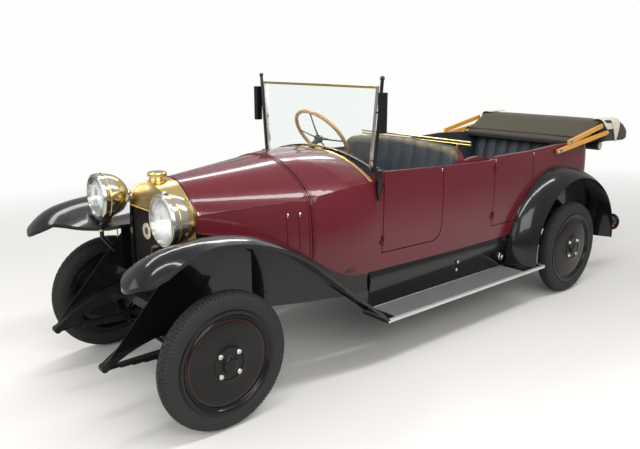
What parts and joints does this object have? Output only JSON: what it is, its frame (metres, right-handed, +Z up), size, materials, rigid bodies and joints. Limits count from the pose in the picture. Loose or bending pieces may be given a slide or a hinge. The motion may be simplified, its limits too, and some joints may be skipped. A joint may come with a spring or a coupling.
{
  "type": "open touring car",
  "caption": "Open touring car of the 1920s with brass radiator, disc wheels and folded top. Wheels, steering, doors and bonnet lids move.",
  "frame": {"origin": "on the ground under the middle of the overall length, on the car's middle line", "axes": "+X towards the radiator, +Y to the car's left, +Z up"},
  "size_m": [4.9899, 1.624, 1.8228],
  "materials": {
    "body": "gloss enamel",
    "bonnet_left": "gloss enamel",
    "bonnet_right": "gloss enamel",
    "bonnet_hinge": "polished",
    "door_front_left": "gloss enamel",
    "door_front_right": "gloss enamel",
    "door_rear_left": "gloss enamel",
    "door_rear_right": "gloss enamel",
    "partition": "pleated hide",
    "floor": "matted boards",
    "front_seat": "pleated hide",
    "rear_seat": "pleated hide",
    "folded_top": "coated canvas",
    "top_bows": "varnished",
    "robe_rail": "polished",
    "frame": "black chassis enamel",
    "front_axle": "black chassis enamel",
    "rear_axle": "black chassis enamel",
    "leaf_springs": "black chassis enamel",
    "knuckle_left": "black chassis enamel",
    "knuckle_right": "black chassis enamel",
    "tie_rod": "black chassis enamel",
    "exhaust": "black chassis enamel",
    "power_unit": "plain block",
    "steering_column": "gloss enamel",
    "steering_wheel": "varnished rim on black spokes",
    "front_fenders": "gloss enamel",
    "rear_fenders": "gloss enamel",
    "running_boards": "ribbed linoleum, metal edge",
    "side_aprons": "gloss enamel",
    "radiator_shell": "polished",
    "radiator_core": "dark honeycomb",
    "headlamp_bowls": "polished",
    "headlamp_rims": "polished nickel plate",
    "headlamp_lenses": "fluted",
    "lamp_brackets": "gloss enamel",
    "windscreen_frame": "polished",
    "windscreen_posts": "polished",
    "windscreen_glass": "flat",
    "tail_lamp": "gloss enamel",
    "wheel_front_left": "gloss enamel, red line, plated hub cap",
    "tyre_front_left": "treaded rubber",
    "wheel_front_right": "gloss enamel, red line, plated hub cap",
    "tyre_front_right": "treaded rubber",
    "wheel_rear_left": "gloss enamel, red line, plated hub cap",
    "tyre_rear_left": "treaded rubber",
    "wheel_rear_right": "gloss enamel, red line, plated hub cap",
    "tyre_rear_right": "treaded rubber"
  },
  "bodies": {
    "chassis": {"body": "body", "bonnet_hinge": "bonnet_hinge", "partition": "partition", "floor": "floor", "front_seat": "front_seat", "rear_seat": "rear_seat", "folded_top": "folded_top", "top_bows": "top_bows", "robe_rail": "robe_rail", "frame": "frame", "front_axle": "front_axle", "rear_axle": "rear_axle", "leaf_springs": "leaf_springs", "exhaust": "exhaust", "power_unit": "power_unit", "steering_column": "steering_column", "front_fenders": "front_fenders", "rear_fenders": "rear_fenders", "running_boards": "running_boards", "side_aprons": "side_aprons", "radiator_shell": "radiator_shell", "radiator_core": "radiator_core", "headlamp_bowls": "headlamp_bowls", "headlamp_rims": "headlamp_rims", "headlamp_lenses": "headlamp_lenses", "lamp_brackets": "lamp_brackets", "windscreen_frame": "windscreen_frame", "windscreen_posts": "windscreen_posts", "windscreen_glass": "windscreen_glass", "tail_lamp": "tail_lamp"},
    "knuckle_left": {"knuckle_left": "knuckle_left"},
    "knuckle_right": {"knuckle_right": "knuckle_right"},
    "tie_rod": {"tie_rod": "tie_rod"},
    "steering_wheel": {"steering_wheel": "steering_wheel"},
    "bonnet_left": {"bonnet_left": "bonnet_left"},
    "bonnet_right": {"bonnet_right": "bonnet_right"},
    "wheel_front_left": {"wheel_front_left": "wheel_front_left", "tyre_front_left": "tyre_front_left"},
    "door_front_left": {"door_front_left": "door_front_left"},
    "wheel_front_right": {"wheel_front_right": "wheel_front_right", "tyre_front_right": "tyre_front_right"},
    "door_front_right": {"door_front_right": "door_front_right"},
    "wheel_rear_left": {"wheel_rear_left": "wheel_rear_left", "tyre_rear_left": "tyre_rear_left"},
    "door_rear_left": {"door_rear_left": "door_rear_left"},
    "wheel_rear_right": {"wheel_rear_right": "wheel_rear_right", "tyre_rear_right": "tyre_rear_right"},
    "door_rear_right": {"door_rear_right": "door_rear_right"}
  },
  "joints": [
    {"name": "steer_left", "type": "hinge", "parent": "chassis", "child": "knuckle_left", "pos_m": [1.98, 0.64, 0.3825], "axis": [0, 0, 1], "range_deg": [-30, 30]},
    {"name": "steer_right", "type": "hinge", "parent": "chassis", "child": "knuckle_right", "pos_m": [1.98, -0.64, 0.3825], "axis": [0, 0, 1], "range_deg": [-30, 30]},
    {"name": "tie_rod_turn", "type": "hinge", "parent": "knuckle_left", "child": "tie_rod", "pos_m": [1.81, 0.64, 0.284], "axis": [0, 0, 1], "range_deg": [-30, 30]},
    {"name": "steering_wheel_turn", "type": "hinge", "parent": "chassis", "child": "steering_wheel", "pos_m": [0.39, -0.338, 1.359], "axis": [-0.788, 0, 0.6157], "range_deg": [-300, 300]},
    {"name": "wheel_front_left_spin", "type": "hinge", "parent": "knuckle_left", "child": "wheel_front_left", "pos_m": [1.98, 0.727, 0.3825], "axis": [0, 1, 0], "continuous": true},
    {"name": "wheel_front_right_spin", "type": "hinge", "parent": "knuckle_right", "child": "wheel_front_right", "pos_m": [1.98, -0.727, 0.3825], "axis": [0, 1, 0], "continuous": true},
    {"name": "wheel_rear_left_spin", "type": "hinge", "parent": "chassis", "child": "wheel_rear_left", "pos_m": [-1.42, 0.727, 0.3825], "axis": [0, 1, 0], "continuous": true},
    {"name": "wheel_rear_right_spin", "type": "hinge", "parent": "chassis", "child": "wheel_rear_right", "pos_m": [-1.42, -0.727, 0.3825], "axis": [0, 1, 0], "continuous": true},
    {"name": "door_front_left_hinge", "type": "hinge", "parent": "chassis", "child": "door_front_left", "pos_m": [0.6795, 0.61682, 0.955], "axis": [0, 0, -1], "range_deg": [0, 65]},
    {"name": "door_front_right_hinge", "type": "hinge", "parent": "chassis", "child": "door_front_right", "pos_m": [0.6795, -0.61682, 0.955], "axis": [0, 0, 1], "range_deg": [0, 65]},
    {"name": "door_rear_left_hinge", "type": "hinge", "parent": "chassis", "child": "door_rear_left", "pos_m": [-0.4635, 0.64543, 0.955], "axis": [0, 0, -1], "range_deg": [0, 65]},
    {"name": "door_rear_right_hinge", "type": "hinge", "parent": "chassis", "child": "door_rear_right", "pos_m": [-0.4635, -0.64543, 0.955], "axis": [0, 0, 1], "range_deg": [0, 65]},
    {"name": "bonnet_left_hinge", "type": "hinge", "parent": "chassis", "child": "bonnet_left", "pos_m": [1.864, 0, 1.245], "axis": [0.9947, 0, -0.1024], "range_deg": [0, 50]},
    {"name": "bonnet_right_hinge", "type": "hinge", "parent": "chassis", "child": "bonnet_right", "pos_m": [1.864, 0, 1.245], "axis": [-0.9947, 0, 0.1024], "range_deg": [0, 50]}
  ],
  "couplings": [
    {"joint": "steer_right", "follows": "steer_left", "ratio": 1},
    {"joint": "tie_rod_turn", "follows": "steer_left", "ratio": -1},
    {"joint": "steering_wheel_turn", "follows": "steer_left", "ratio": 10}
  ]
}
